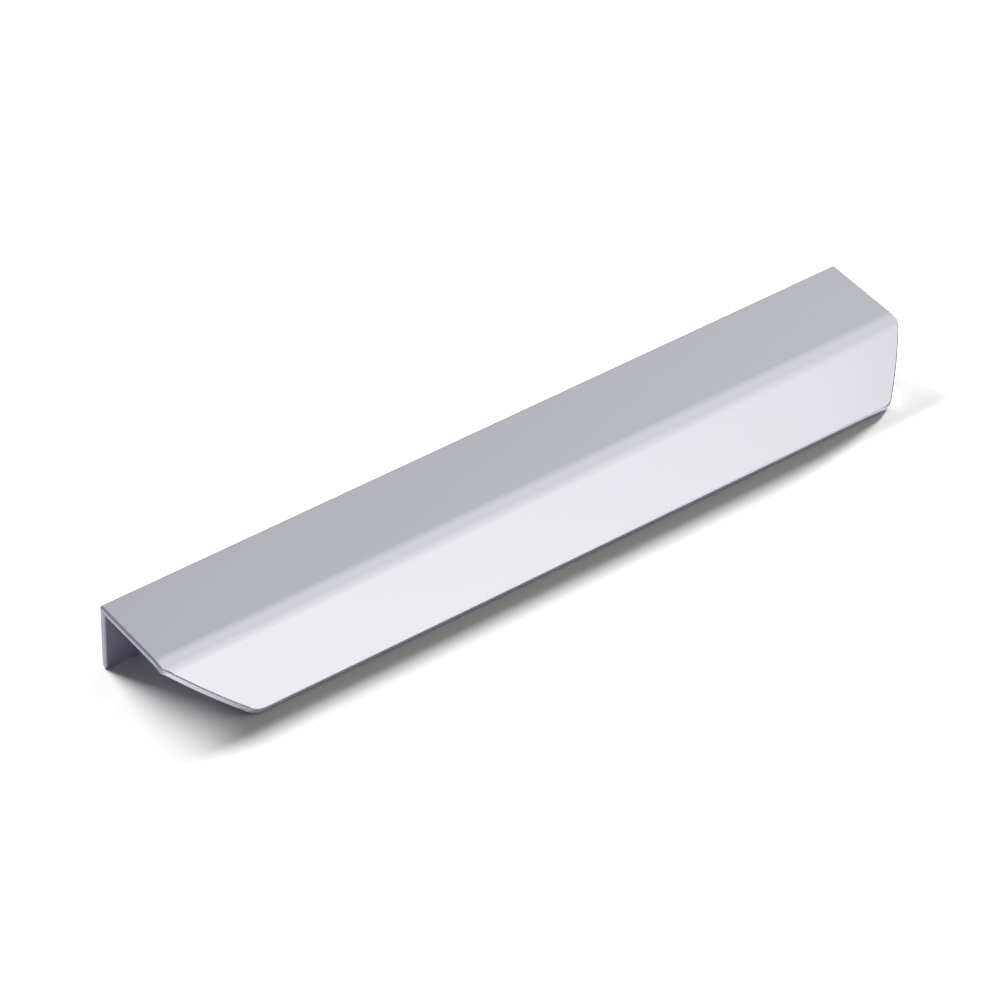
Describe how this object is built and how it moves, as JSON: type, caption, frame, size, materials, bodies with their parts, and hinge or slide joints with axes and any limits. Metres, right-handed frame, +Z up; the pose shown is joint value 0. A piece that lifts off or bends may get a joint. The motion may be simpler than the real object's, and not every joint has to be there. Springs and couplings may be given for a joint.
{
  "type": "edge pull",
  "caption": "Edge pull for a cabinet door or drawer front: a thin screwed leg, a flat flange, a narrow facet and a sloping finger flap with clipped ends, in satin aluminium.",
  "frame": {"origin": "on the floor, at the middle of the space that the pull takes up as it rests", "axes": "+X along the length, -Y to the front where the flap points, +Z up as the pull rests on its leg's foot and its lip"},
  "size_m": [0.2, 0.0392, 0.0173],
  "materials": {
    "satin_aluminium": "satin, brushed along the length"
  },
  "bodies": {
    "root": {"edge_pull": "satin_aluminium"}
  },
  "joints": []
}
